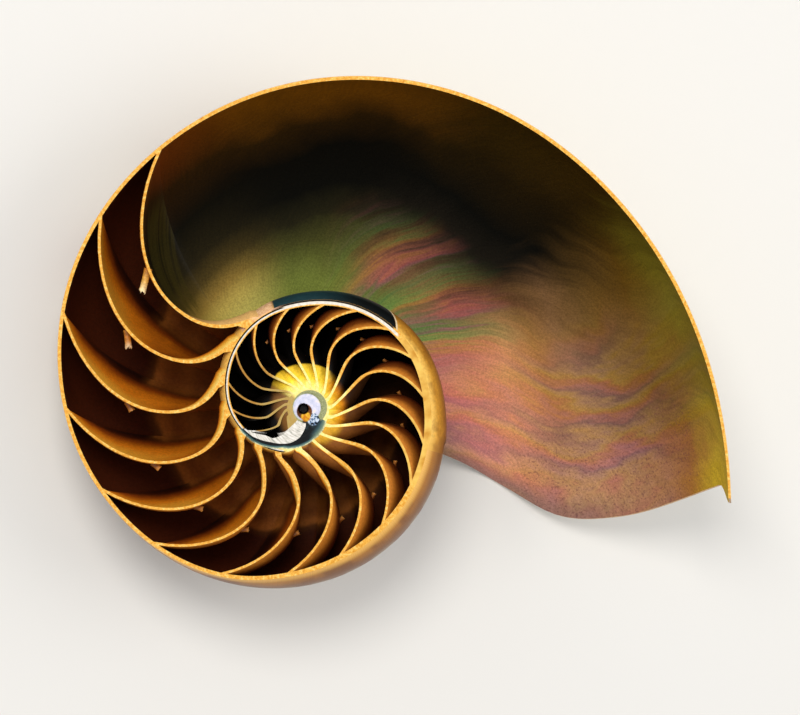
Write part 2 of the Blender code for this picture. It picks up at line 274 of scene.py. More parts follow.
def inner_edge(turn, depth):
    """Inner side of the hollow whorl: the outer face of the turn inside it."""
    inner_turn = turn + 360
    layer = floor_layer(turn)
    if depth <= INNER_FLANK:
        return whorl_point(inner_turn, depth, -layer, 0.0, INNER_FLANK)
    radius = coil_radius(inner_turn)
    share = (depth - INNER_FLANK) / (1 - INNER_FLANK)
    middle = SECTION_MIDDLE * radius
    floor = -cut_offset(inner_turn) - SECTION_HALF_BREADTH * radius - layer
    return middle * (1 - (1 - SEAM) * share), floor


def place_on_turn(turn, distance, height):
    angle = math.radians(turn)
    return Vector((distance * math.cos(angle), distance * math.sin(angle), height))


def hollow_point(turn, height, depth):
    """Point inside a whorl: height 0 to 1 from its inner to its outer side."""
    inner = inner_edge(turn, depth)
    outer = outer_edge(turn, depth)
    distance = inner[0] + (outer[0] - inner[0]) * height
    level = inner[1] + (outer[1] - inner[1]) * height
    return place_on_turn(turn, distance, level)


def lip_shift(turn, fraction):
    """How far the growth lines lead or trail, fading out behind the lip."""
    fade = clamp((LIP_FADE_TURN - turn) / (LIP_FADE_TURN - LIP_BASE_TURN))
    return (smooth_value(LIP, fraction) - LIP_BASE_TURN) * fade ** LIP_FADE_POWER


def septum_line(number, share):
    """Turn from the septum's outer end, and height: share 0 at its root, 1 at its outer end."""
    bow = smooth_value(SEPTUM_BOW, number)
    bow_height = smooth_value(SEPTUM_BOW_HEIGHT, number)
    root = smooth_value(SEPTUM_ROOT, number)
    power = 2 / smooth_value(SEPTUM_ROUNDNESS, number)
    if share < BOW_SHARE:
        angle = share / BOW_SHARE * math.pi / 2
        across = 1 - math.cos(angle) ** power
        forward = 1 - math.sin(angle) ** power
        return bow - (bow - root) * forward, bow_height * across
    up = (share - BOW_SHARE) / (1 - BOW_SHARE)
    return bow * (1 - up ** SEPTUM_VENTRAL_POWER), bow_height + (1 - bow_height) * up


def septum_face(number, step, steps, side):
    """Turn and height of one face of a septum; side is 1 for its back and -1 for its front."""
    first_share = FRONT_START
    if side > 0:
        first_share = BOW_SHARE
        while septum_line(number, first_share)[1] > ROOT_HEIGHT:
            first_share -= SHARE_STEP
    share = first_share + (1 - first_share) * step / steps
    turn, height = septum_line(number, share)
    before = septum_line(number, max(share - SHARE_STEP, 0.0))
    after = septum_line(number, min(share + SHARE_STEP, 1.0))
    base_turn = SEPTUM_TURNS[number - 1]
    inner = inner_edge(base_turn + turn, 0.0)[0]
    rise = outer_edge(base_turn + turn, 0.0)[0] - inner
    distance = inner + rise * height
    along = math.radians(after[0] - before[0]) * distance
    up = (after[1] - before[1]) * rise
    length = math.hypot(along, up)
    half = side * smooth_value(SEPTUM_THICKNESS, number) / 2
    if step == steps:
        return turn + math.degrees(half * length / up / distance), 1.0
    turn += math.degrees(half * up / length / distance)
    height -= half * along / length / rise
    if step == 0:
        height = 0.0
    return turn, max(height, 0.0)


def septum_turn(number, turn, height, depth):
    """Turn of a point on a dished septum, from its turn and height in the cut."""
    flat = 1 - DISH_FLATTENING * depth ** DISH_FLATTENING_POWER
    flank = math.sin(min(depth / FLANK_BOW_DEPTH, FLANK_BOW_LAST) * math.pi / 2) ** 2
    strength = smooth_value(SEPTUM_BOW, number) / FULL_BOW
    flank_turn = FLANK_BOW * flank * strength * height ** FLANK_BOW_POWER
    return SEPTUM_TURNS[number - 1] + turn * flat + flank_turn


class Skin:
    """Points, faces and the numbers that the materials read at every point."""

    NUMBERS = ("turn", "growth", "height", "band", "depth", "line")

    def __init__(self):
        self.points = []
        self.faces = []
        self.kinds = []
        self.numbers = {name: [] for name in self.NUMBERS}

    def add_point(self, point, turn, growth, height, band=0.0):
        self.points.append(point)
        line = second_whorl_line(point) if point.z > -HAIR else 0.0
        values = (turn, growth, height, band, -point.z, line)
        for name, value in zip(self.NUMBERS, values):
            self.numbers[name].append(value)
        return len(self.points) - 1

    def add_face(self, corners, kind):
        kept = []
        for corner in corners:
            if corner not in kept:
                kept.append(corner)
        if len(kept) > 2:
            self.faces.append(kept)
            self.kinds.append(KINDS.index(kind))


def spread(step, steps, pull):
    """Share from 0 to 1 that is finer near 0, so the edges at the cut are crisp."""
    return (step / steps) ** pull


def add_block(skin, counts, place, kinds):
    """Inside faces of a hollow, open at the cut; returns its grid of points.

    kinds names the material of the faces at the start and end of axes 0 and 1 and of the
    far end of axis 2; a kind of None leaves those faces out.
    """
    corners = {}

    def corner(index):
        if index not in corners:
            corners[index] = skin.add_point(*place(*index))
        return corners[index]

    sides = ((0, 0), (0, counts[0]), (1, 0), (1, counts[1]), (2, counts[2]))
    for (axis, end), kind in zip(sides, kinds):
        if kind is None:
            continue
        first, second = [other for other in range(3) if other != axis]
        for i in range(counts[first]):
            for j in range(counts[second]):
                loop = []
                for di, dj in ((0, 0), (1, 0), (1, 1), (0, 1)):
                    index = [0, 0, 0]
                    index[axis] = end
                    index[first] = i + di
                    index[second] = j + dj
                    loop.append(corner(tuple(index)))
                if (end == 0) == (axis != 1):
                    loop.reverse()
                skin.add_face(loop, kind)
    return corners


def fraction_at(point, turn):
    return clamp(math.hypot(point.x, point.y) / coil_radius(turn))


def add_chamber(skin, number):
    """Hollow between one septum and the next one in; returns its rim at the cut."""
    stations, heights, depths = next(counts for last, counts in CHAMBER_GRIDS if number <= last)
    fronts = [septum_face(number, step, heights, 1) for step in range(heights + 1)]
    backs = [septum_face(number + 1, step, heights, -1) for step in range(heights + 1)]

    def place(station, height_step, depth_step):
        depth = spread(depth_step, depths, CHAMBER_DEPTH_PULL)
        front = fronts[height_step]
        back = backs[height_step]
        front_turn = septum_turn(number, front[0], front[1], depth)
        back_turn = septum_turn(number + 1, back[0], back[1], depth)
        back_turn = max(back_turn, front_turn + NARROWEST_CHAMBER)
        share = station / stations
        turn = front_turn + (back_turn - front_turn) * share
        height = front[1] + (back[1] - front[1]) * share
        point = hollow_point(turn, height, depth)
        return point, turn, number + share, height, share

    kinds = ("back", "front", "floor", "wall", "wall")
    corners = add_block(skin, (stations, heights, depths), place, kinds)
    rim = [corners[(step, 0, 0)] for step in range(stations)]
    rim += [corners[(stations, step, 0)] for step in range(heights)]
    rim += [corners[(step, heights, 0)] for step in range(stations, 0, -1)]
    rim += [corners[(0, step, 0)] for step in range(heights, 0, -1)]
    return rim


BODY_FLAT_STATIONS = 84
BODY_BENT_STATIONS = 22
BODY_HEIGHTS = 34
BODY_DEPTHS = 56
BODY_FLAT_END = 84.0


def add_body_chamber(skin):
    """Hollow from the lip back to the first septum; returns its grid of points."""
    stations = BODY_FLAT_STATIONS + BODY_BENT_STATIONS
    faces = [septum_face(1, step, BODY_HEIGHTS, -1) for step in range(BODY_HEIGHTS + 1)]

    def place(station, height_step, depth_step):
        depth = spread(depth_step, BODY_DEPTHS, BODY_DEPTH_PULL)
        turn_share = min(station, BODY_FLAT_STATIONS) / BODY_FLAT_STATIONS
        flat_turn = LIP_BASE_TURN + (BODY_FLAT_END - LIP_BASE_TURN) * turn_share
        distance = outer_edge(flat_turn, depth)[0]
        fraction = clamp(distance / (coil_radius(flat_turn) - wall_at(flat_turn)))
        turn = flat_turn + lip_shift(flat_turn, fraction)
        septum = faces[height_step]
        bent_share = max(station - BODY_FLAT_STATIONS, 0) / BODY_BENT_STATIONS
        bent_turn = septum_turn(1, septum[0], septum[1], depth)
        turn += (bent_turn - turn) * bent_share
        point = hollow_point(turn, septum[1], depth)
        growth = flat_turn + (bent_turn - BODY_FLAT_END) * bent_share
        return point, turn, growth, fraction_at(point, turn), bent_share

    kinds = (None, "septum", "floor", "nacre", "nacre")
    counts = (stations, BODY_HEIGHTS, BODY_DEPTHS)
    return add_block(skin, counts, place, kinds)


OUTER_STATIONS = 260
OUTER_RIM_POINTS = 46
OUTER_BASE_POINTS = 26


def add_outside(skin):
    """The last turn's outer face; returns its rows of points, from the cut to the axis."""
    points = OUTER_RIM_POINTS + OUTER_BASE_POINTS
    rim_share = OUTER_RIM_POINTS / points
    rows = []
    for station in range(OUTER_STATIONS + 1):
        flat_turn = LIP_BASE_TURN + 360.0 * station / OUTER_STATIONS
        row = []
        for step in range(points):
            part = step / points
            distance, level = whorl_point(flat_turn, part, 0.0, UMBILICUS_DEPTH, rim_share)
            fraction = clamp(distance / coil_radius(flat_turn))
            turn = flat_turn + lip_shift(flat_turn, fraction)
            distance, level = whorl_point(turn, part, 0.0, UMBILICUS_DEPTH, rim_share)
            point = place_on_turn(turn, distance, level)
            row.append(skin.add_point(point, turn, flat_turn, fraction_at(point, turn), part))
        rows.append(row)
    lowest = Vector((0.0, 0.0, -UMBILICUS_DEPTH))
    base = skin.add_point(lowest, AXIS_TURN, AXIS_TURN, 0.0, 1.0)
    for before, after in zip(rows, rows[1:]):
        for step in range(points - 1):
            loop = (before[step], before[step + 1], after[step + 1], after[step])
            skin.add_face(loop, "outside")
        skin.add_face((before[-1], base, after[-1]), "outside")
    for row in rows:
        row.append(base)
    return rows


def add_lip(skin, rows, body):
    """Narrow faces that join the lip's outer and inner edges and close the umbilicus."""
    outer = rows[0]
    inner = [body[(0, BODY_HEIGHTS, step)] for step in range(BODY_DEPTHS + 1)]
    inner += [body[(0, step, BODY_DEPTHS)] for step in range(BODY_HEIGHTS - 1, -1, -1)]
    inner += [body[(0, 0, step)] for step in range(BODY_DEPTHS - 1, -1, -1)]
    split = BODY_DEPTHS + BODY_HEIGHTS // 2
    seam_row = next(
        step for step, index in enumerate(outer)
        if math.hypot(*skin.points[index].xy) <= math.hypot(*skin.points[inner[split]].xy)
    )
    join_strips(skin, outer[:seam_row + 1], inner[:split + 1], "lip")
    last = rows[-1]
    middle = outer[seam_row:]
    inward = list(reversed(last[:-1]))
    join_strips(skin, middle + inward, inner[split:], "lip")


def way_shares(skin, run):
    """Share of a run's length at each of its points."""
    lengths = [0.0]
    for before, after in zip(run, run[1:]):
        lengths.append(lengths[-1] + (skin.points[after] - skin.points[before]).length)
    return [length / lengths[-1] for length in lengths]


def join_strips(skin, first, second, kind):
    """Triangles between two runs of points, walked together by their share of the way."""
    first_shares = way_shares(skin, first)
    second_shares = way_shares(skin, second)
    i = j = 0
    while i < len(first) - 1 or j < len(second) - 1:
        second_done = j == len(second) - 1
        if second_done or (i < len(first) - 1 and first_shares[i + 1] <= second_shares[j + 1]):
            skin.add_face((first[i], first[i + 1], second[j]), kind)
            i += 1
        else:
            skin.add_face((first[i], second[j + 1], second[j]), kind)
            j += 1


def cut_line(turn):
    """Distance from the axis at which the saw cut meets a whorl's outer face."""
    return whorl_point(turn, 0.0, 0.0, 0.0, OUTER_FLANK)[0]


def second_whorl_turn(point):
    """Turn of the second whorl at the angle of a point."""
    return math.degrees(math.atan2(point.y, point.x)) % 360 + 360


def second_whorl_line(point):
    """How far a point of the cut lies outside the second whorl's outline."""
    return math.hypot(point.x, point.y) - cut_line(second_whorl_turn(point))


def is_inside(place, loop):
    """Whether a place lies inside a closed loop of places."""
    inside = False
    before = loop[-1]
    for after in loop:
        if (before.y > place.y) != (after.y > place.y):
            share = (place.y - before.y) / (after.y - before.y)
            if place.x < before.x + (after.x - before.x) * share:
                inside = not inside
        before = after
    return inside


LINE_TURNS = (398.0, 716.0)
LINE_STEP = 2.0
LINE_OFFSETS = (-1.5, -1.1, -0.75, -0.55, -0.4, -0.27, -0.14, 0.0, 0.15, 0.3, 0.6, 1.2)
CORE_RING_STEP = 0.25
CORE_RING_COUNT = 22
CORE_STEP = 5
JOIN_DISTANCE = 1e-6

# Places in the photographed face, in its pixels, and radii there
COIL_PIXEL = (306.0, 410.0)
HOLE_PIXEL = (303.3, 408.8)
HOLE_RADIUS = 1.1
HOLE_DEPTH = 1.7
HOLE_EDGE = 0.3
EMBRYO_PIXEL = (306.9, 407.6)
EMBRYO_RADIUS = 2.75
GROOVE_DEPTH = 0.22
GROOVE_WIDTH = 0.22
# Hairline gap along the second whorl: its turns, its place beside the outline and its width
GAP_TURNS = (467.0, 600.0)
GAP_LINE = -0.14
GAP_WIDTH = 0.1


def place_of(pixel):
    """Place on the cut, in millimetres, that the photograph shows at a pixel."""
    return Vector(((pixel[0] - COIL_PIXEL[0]) * PIXEL, (COIL_PIXEL[1] - pixel[1]) * PIXEL, 0.0))


def core_relief(point, line):
    """Depth of the small hollows in the cut face's core."""
    from_hole = (point - place_of(HOLE_PIXEL)).length
    depth = HOLE_DEPTH * ease((HOLE_RADIUS - from_hole) / HOLE_EDGE)
    ring = (point - place_of(EMBRYO_PIXEL)).length - EMBRYO_RADIUS
    depth += GROOVE_DEPTH * math.exp(-(ring / GROOVE_WIDTH) ** 2)
    if GAP_TURNS[0] < second_whorl_turn(point) < GAP_TURNS[1]:
        depth += GROOVE_DEPTH * math.exp(-((line - GAP_LINE) / GAP_WIDTH) ** 2)
    return depth


def add_cut_face(skin, rows, body, rims):
    """The flat sawn face: everything between the outline and the chambers' rims."""
    stations = BODY_FLAT_STATIONS + BODY_BENT_STATIONS
    outline = [row[0] for row in rows]
    outline += [body[(step, 0, 0)] for step in range(stations)]
    outline += [body[(stations, step, 0)] for step in range(BODY_HEIGHTS)]
    outline += [body[(step, BODY_HEIGHTS, 0)] for step in range(stations, -1, -1)]
    places = []
    known = []
    edges = []
    spans = []
    for loop in [outline] + rims:
        first = len(places)
        spans.append((first, first + len(loop)))
        for step, index in enumerate(loop):
            places.append(skin.points[index].xy)
            known.append(index)
            edges.append((first + step, first + (step + 1) % len(loop)))
    turn = LINE_TURNS[0]
    while turn < LINE_TURNS[1]:
        for offset in LINE_OFFSETS:
            places.append(place_on_turn(turn, cut_line(turn) + offset, 0.0).xy)
        turn += LINE_STEP
    for ring in range(1, CORE_RING_COUNT + 1):
        for angle in range(0, 360, CORE_STEP):
            places.append(place_on_turn(angle, ring * CORE_RING_STEP, 0.0).xy)
    made = delaunay_2d_cdt(places, edges, [], 1, JOIN_DISTANCE)
    new_places, new_faces, origins = made[0], made[2], made[3]
    corners = []
    for place, sources in zip(new_places, origins):
        old = [source for source in sources if source < len(known)]
        if old:
            corners.append(known[old[0]])
            continue
        point = Vector((place.x, place.y, 0.0))
        corner = skin.add_point(point, 0.0, 0.0, 0.0)
        point.z = -core_relief(point, skin.numbers["line"][corner])
        corners.append(corner)
    holes = [[places[index] for index in range(*span)] for span in spans[1:]]
    for face in new_faces:
        middle = sum((new_places[index] for index in face), Vector((0.0, 0.0))) / len(face)
        if not any(is_inside(middle, hole) for hole in holes):
            skin.add_face([corners[index] for index in face], "cut")


TUBE_SIDES = 20
# The tube's profile: (share of the length, share of the radius), outside then inside
TUBE_PROFILE = (
    (-0.02, 1.10), (0.03, 1.12), (0.10, 1.06), (0.2, 1.0), (0.4, 0.95), (0.6, 0.92), (0.78, 0.93),
    (0.9, 0.97), (0.98, 1.02), (1.0, 0.97), (0.985, 0.86), (0.9, 0.78), (0.7, 0.74), (0.4, 0.72),
)
# Unevenness round the tube: its fineness, how it differs between tubes, and its size as a share
# of the tube's length at the tip and of its radius
TUBE_NOISE_SCALE = 1.9
TUBE_NOISE_STEP = 3.7
TUBE_RAGGED_TIP = 0.16
TUBE_UNEVEN_RADIUS = 0.07


def add_siphon_tube(skin, number):
    """Short open tube on the back of a septum, just below the cut."""
    length_share = SIPHON_LENGTH_SHARES[min(number, len(SIPHON_LENGTH_SHARES)) - 1]
    share = BOW_SHARE
    while septum_line(number, share)[1] < SIPHON_HEIGHT:
        share += SHARE_STEP
    turn, height = septum_line(number, share)
    base_turn = SEPTUM_TURNS[number - 1]
    scale = coil_radius(base_turn)
    radius = SIPHON_RADIUS * scale
    sunk = max(cut_offset(base_turn), radius * SIPHON_LEAST_DEPTH)
    depth = 0.0
    start = hollow_point(septum_turn(number, turn, height, depth), height, depth)
    while start.z > -sunk:
        depth += SIPHON_DEPTH_STEP
        start = hollow_point(septum_turn(number, turn, height, depth), height, depth)
    septum_place = septum_turn(number, turn, height, depth)
    behind = hollow_point(septum_place + SIPHON_BACK_TURN, height - SIPHON_INWARD, depth)
    axis = (behind - start).normalized()
    turned = Vector((0, 0, 1)).rotation_difference(axis).to_matrix()
    length = SIPHON_LENGTH * scale * length_share
    rings = []
    for along, wide in TUBE_PROFILE:
        ring = []
        for side in range(TUBE_SIDES):
            angle = 2 * math.pi * side / TUBE_SIDES
            around = Vector((math.cos(angle), math.sin(angle), 0.0))
            shift = Vector((0.0, 0.0, number * TUBE_NOISE_STEP))
            rough = noise.noise(around * TUBE_NOISE_SCALE + shift)
            reach = along * length * (1 + TUBE_RAGGED_TIP * rough * along ** 3)
            swell = radius * wide * (1 + TUBE_UNEVEN_RADIUS * rough)
            point = start + turned @ Vector((around.x * swell, around.y * swell, reach))
            ring.append(skin.add_point(point, septum_place, number + along, height, along))
        rings.append(ring)
    for before, after in zip(rings, rings[1:]):
        for side in range(TUBE_SIDES):
            other = (side + 1) % TUBE_SIDES
            skin.add_face((before[side], before[other], after[other], after[side]), "tube")


# The half's resting pose, in degrees about X and Y
REST_TILT = (-1.19, -11.917, 0.0)
# Edges that bend by more degrees than this are drawn sharp
SHARP_ANGLE = 48.0


def shell_frame(skin):
    """Matrix from the shell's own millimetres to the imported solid's place."""
    turned = Euler([math.radians(angle) for angle in REST_TILT]).to_matrix()
    places = [turned @ point * MM for point in skin.points]
    low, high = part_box(NODE)
    shift = []
    for axis in range(3):
        lowest = min(place[axis] for place in places)
        highest = max(place[axis] for place in places)
        if axis == 2:
            shift.append(low[2] - lowest)
        else:
            shift.append((low[axis] + high[axis] - lowest - highest) / 2)
    matrix = turned.to_4x4() @ Matrix.Scale(MM, 4)
    matrix.translation = shift
    return matrix


def make_shell(materials):
    skin = Skin()
    rows = add_outside(skin)
    body = add_body_chamber(skin)
    rims = [add_chamber(skin, number) for number in range(1, len(SEPTUM_TURNS))]
    add_cut_face(skin, rows, body, rims)
    add_lip(skin, rows, body)
    for number in range(1, SIPHON_SEPTA + 1):
        add_siphon_tube(skin, number)
    to_frame = shell_frame(skin)
    mesh = bpy.data.meshes.new("shell_skin")
    mesh.from_pydata([to_frame @ point for point in skin.points], [], skin.faces)
    for name, values in skin.numbers.items():
        mesh.attributes.new(name, "FLOAT", "POINT").data.foreach_set("value", values)
    own = mesh.attributes.new("own", "FLOAT_VECTOR", "POINT")
    own.data.foreach_set("vector", [value for point in skin.points for value in point])
    for kind in KINDS:
        mesh.materials.append(materials[kind])
    mesh.polygons.foreach_set("material_index", skin.kinds)
    mesh.validate()
    mesh.shade_smooth()
    mesh.set_sharp_from_angle(angle=math.radians(SHARP_ANGLE))
    shell = bpy.data.objects.new("shell_skin", mesh)
    bpy.context.scene.collection.objects.link(shell)
    return shell, to_frame


def linear(red, green, blue):
    """Colour from 0 to 255 as the eye sees it, turned into light."""
    def channel(value):
        value /= 255
        return value / 12.92 if value <= 0.04045 else ((value + 0.055) / 1.055) ** 2.4

    return channel(red), channel(green), channel(blue), 1.0


class Value:
    """A number, vector or colour in a material's node tree, with arithmetic on it."""

    def __init__(self, nodes, socket):
        self.nodes = nodes
        self.socket = socket

    def __add__(self, other):
        return self.nodes.math("ADD", self, other)

    def __sub__(self, other):
        return self.nodes.math("SUBTRACT", self, other)

    def __mul__(self, other):
        return self.nodes.math("MULTIPLY", self, other)

    def __truediv__(self, other):
        return self.nodes.math("DIVIDE", self, other)

    def most(self, other):
        return self.nodes.math("MAXIMUM", self, other)

    def fract(self):
        return self.nodes.math("FRACT", self)

    def wander(self, noise_value, amount):
        """Pushed up or down by a noise, by half the amount each way."""
        return self + (noise_value - 0.5) * amount

    def rise(self, low, high, start=0.0, end=1.0):
        """Smooth step from start to end while this goes from low to high."""
        inputs = (self, low, high, start, end)
        return self.nodes.make("ShaderNodeMapRange", 0, *inputs, interpolation_type="SMOOTHSTEP")

    def within(self, low, high, soft):
        """1 between two limits, fading to 0 over a soft edge outside them."""
        return self.rise(low - soft, low) * self.rise(high, high + soft, 1.0, 0.0)

    def ramp(self, *stops):
        """Colour from (place, colour) stops."""
        return self.nodes.ramp(self, [(place, linear(*colour)) for place, colour in stops])

    def curve(self, *pairs):
        """Number on straight runs between (place, number) pairs."""
        first = pairs[0][0]
        span = pairs[-1][0] - first
        most = max(number for place, number in pairs)
        greys = [((place - first) / span, (number / most,) * 3 + (1.0,)) for place, number in pairs]
        return self.nodes.ramp((self - first) / span, greys) * most

    def mix(self, first, second):
        """From the first colour at 0 to the second at 1."""
        return self.nodes.mix(self, first, second, "MIX")

    def shade(self, noise_value, low, high):
        """This colour made darker and lighter by a noise from 0.3 to 0.7."""
        light = noise_value.rise(0.3, 0.7, low, high)
        return self.nodes.mix(1.0, self, self.nodes.vector(light, light, light), "MULTIPLY")


class Nodes:
    """One material's node tree."""

    def __init__(self, name, roughness, specular, coat=0.0):
        self.material = bpy.data.materials.new(name)
        self.material.use_nodes = True
        self.tree = self.material.node_tree
        self.surface = self.tree.nodes["Principled BSDF"]
        self.surface.inputs["Roughness"].default_value = roughness
        self.surface.inputs["Specular IOR Level"].default_value = specular
        self.surface.inputs["Coat Weight"].default_value = coat
        self.surface.inputs["Coat Roughness"].default_value = 0.2

    def feed(self, socket, value):
        if isinstance(value, Value):
            self.tree.links.new(value.socket, socket)
        else:
            socket.default_value = value

    def make(self, kind, output, *inputs, **settings):
        """One output of a new node, whose first inputs are fed in order."""
        node = self.tree.nodes.new(kind)
        for name, value in settings.items():
            setattr(node, name, value)
        for socket, value in zip(node.inputs, inputs):
            self.feed(socket, value)
        return Value(self, node.outputs[output])

    def math(self, operation, *inputs):
        return self.make("ShaderNodeMath", 0, *inputs, operation=operation)

    def vector(self, x, y, z):
        return self.make("ShaderNodeCombineXYZ", 0, x, y, z)

    def number(self, name):
        """One of the skin's numbers."""
        return self.make("ShaderNodeAttribute", "Fac", attribute_name=name)

    @cached_property
    def own(self):
        """Place in the shell's own frame, in millimetres."""
        return self.make("ShaderNodeAttribute", "Vector", attribute_name="own")

    @cached_property
    def flat(self):
        """The place laid onto the cut."""
        inputs = (self.own, (1.0, 1.0, 0.0))
        return self.make("ShaderNodeVectorMath", "Vector", *inputs, operation="MULTIPLY")

    @cached_property
    def radius(self):
        """Distance from the coil axis."""
        return self.make("ShaderNodeVectorMath", "Value", self.flat, operation="LENGTH")

    @cached_property
    def angle(self):
        """Angle about the coil axis, from 0 to 360 degrees."""
        parts = [self.make("ShaderNodeSeparateXYZ", axis, self.own) for axis in ("Y", "X")]
        turned = self.math("DEGREES", self.math("ARCTAN2", *parts))
        return self.math("WRAP", turned, 360.0, 0.0)

    def disc(self, pixel, radius, soft):
        """1 inside a disc on the cut, fading to 0 over a soft edge."""
        inputs = (self.flat, place_of(pixel))
        far = self.make("ShaderNodeVectorMath", "Value", *inputs, operation="DISTANCE")
        return far.rise(radius - soft, radius + soft, 1.0, 0.0)

    def noise(self, scale, detail=3.0, roughness=0.55, distortion=0.0, at=None):
        """Noise at the shell's own place, or at three other numbers."""
        node = self.tree.nodes.new("ShaderNodeTexNoise")
        self.feed(node.inputs["Vector"], self.vector(*at) if at else self.own)
        node.inputs["Scale"].default_value = scale
        node.inputs["Detail"].default_value = detail
        node.inputs["Roughness"].default_value = roughness
        node.inputs["Distortion"].default_value = distortion
        return Value(self, node.outputs["Fac"])

    def ramp(self, value, stops):
        node = self.tree.nodes.new("ShaderNodeValToRGB")
        elements = node.color_ramp.elements
        while len(elements) < len(stops):
            elements.new(0.5)
        for element, (place, colour) in zip(elements, stops):
            element.position = place
            element.color = colour
        self.feed(node.inputs["Fac"], value)
        return Value(self, node.outputs["Color"])

    def mix(self, share, first, second, blend):
        node = self.tree.nodes.new("ShaderNodeMix")
        node.data_type = "RGBA"
        node.blend_type = blend
        self.feed(node.inputs[0], share)
        for socket, colour in zip(node.inputs[6:8], (first, second)):
            self.feed(socket, linear(*colour) if isinstance(colour, tuple) else colour)
        return Value(self, node.outputs[2])

    def finish(self, colour, relief, strength, distance=0.0002):
        """The material with this colour, and a relief as bump."""
        self.feed(self.surface.inputs["Base Color"], colour)
        node = self.tree.nodes.new("ShaderNodeBump")
        node.inputs["Strength"].default_value = strength
        node.inputs["Distance"].default_value = distance
        self.feed(node.inputs["Height"], relief)
        self.tree.links.new(node.outputs["Normal"], self.surface.inputs["Normal"])
        return self.material


# Colours of the body chamber's wall by share of the coil's radius, from the lip inward
NACRE_LIP = (
    (0.32, (150, 114, 98)), (0.41, (212, 132, 120)), (0.52, (200, 134, 100)), (0.60, (172, 120, 104)),
    (0.70, (164, 118, 102)), (0.80, (144, 98, 88)), (0.91, (152, 98, 38)), (0.97, (190, 160, 36)),
)
NACRE_FRONT = (
    (0.32, (206, 118, 112)), (0.41, (210, 130, 108)), (0.51, (216, 150, 100)), (0.60, (164, 116, 62)),
    (0.68, (146, 106, 66)), (0.76, (112, 82, 40)), (0.88, (104, 74, 18)), (0.97, (120, 108, 28)),
)
# The near-black bands of this and the next two sets are a painted dark reflection on the nacre
NACRE_MIDDLE = (
    (0.34, (104, 126, 64)), (0.41, (98, 104, 50)), (0.47, (118, 76, 54)), (0.54, (66, 48, 32)),
    (0.63, (26, 21, 13)), (0.74, (8, 7, 3)), (0.86, (32, 21, 2)), (0.98, (56, 38, 4)),
)
NACRE_BACK = (
    (0.38, (108, 118, 50)), (0.44, (92, 98, 40)), (0.51, (64, 64, 26)), (0.58, (32, 29, 12)),
    (0.67, (7, 6, 2)), (0.79, (7, 5, 1)), (0.87, (42, 25, 2)), (0.97, (112, 66, 6)),
)
NACRE_LAST = (
    (0.40, (184, 172, 88)), (0.46, (178, 156, 76)), (0.51, (138, 112, 50)), (0.57, (74, 60, 24)),
    (0.64, (34, 28, 10)), (0.76, (12, 9, 2)), (0.88, (40, 22, 3)), (0.98, (100, 44, 8)),
)
# Growth over which the wall's colours change from one set to the next
NACRE_STAGES = ((-14.0, 2.0, NACRE_FRONT), (14.0, 38.0, NACRE_MIDDLE), (54.0, 80.0, NACRE_BACK))
NACRE_LAST_STAGE = (96.0, 124.0)
FAN_SHEEN = (
    (0.0, (188, 92, 96)), (0.25, (196, 128, 66)), (0.45, (120, 150, 72)), (0.65, (84, 128, 66)),
    (0.85, (148, 92, 104)), (1.0, (188, 92, 96)),
)
SWEEP_SHEEN = (
    (0.0, (212, 164, 78)), (0.2, (200, 156, 118)), (0.42, (126, 90, 114)), (0.6, (200, 118, 126)),
    (0.8, (208, 124, 84)), (1.0, (212, 164, 78)),
)
# How the streaks of the fan lean, in degrees of growth over the whole radius
FAN_SLANT = 70.0
# The lip's colour bands: degrees of growth per band, and their slant by share of the radius
SWEEP_PERIOD = 15.0
SWEEP_SLANT = ((0.3, 0.0), (0.5, 8.0), (0.62, 22.0), (0.78, 27.0), (0.92, 23.0), (1.0, 18.0))
# Growth and share of the radius over which fan, bands, lip's rim and dots beside it come and go
FAN_STARTS = (8.0, 26.0)
FAN_ENDS = (86.0, 60.0)
FAN_HEIGHTS = (0.66, 0.42)
SWEEP_ENDS = (22.0, 4.0)
SWEEP_HEIGHTS = (0.95, 0.72)
RIM_ENDS = (-13.0, -17.5)
RIM_HEIGHTS = (0.85, 0.65)
RIM_COLOUR = (128, 102, 88)
DOTS_END = (8.0, -8.0)
DOT_HEIGHTS = (0.55, 0.90)
DOT_COLOUR = (96, 50, 60)


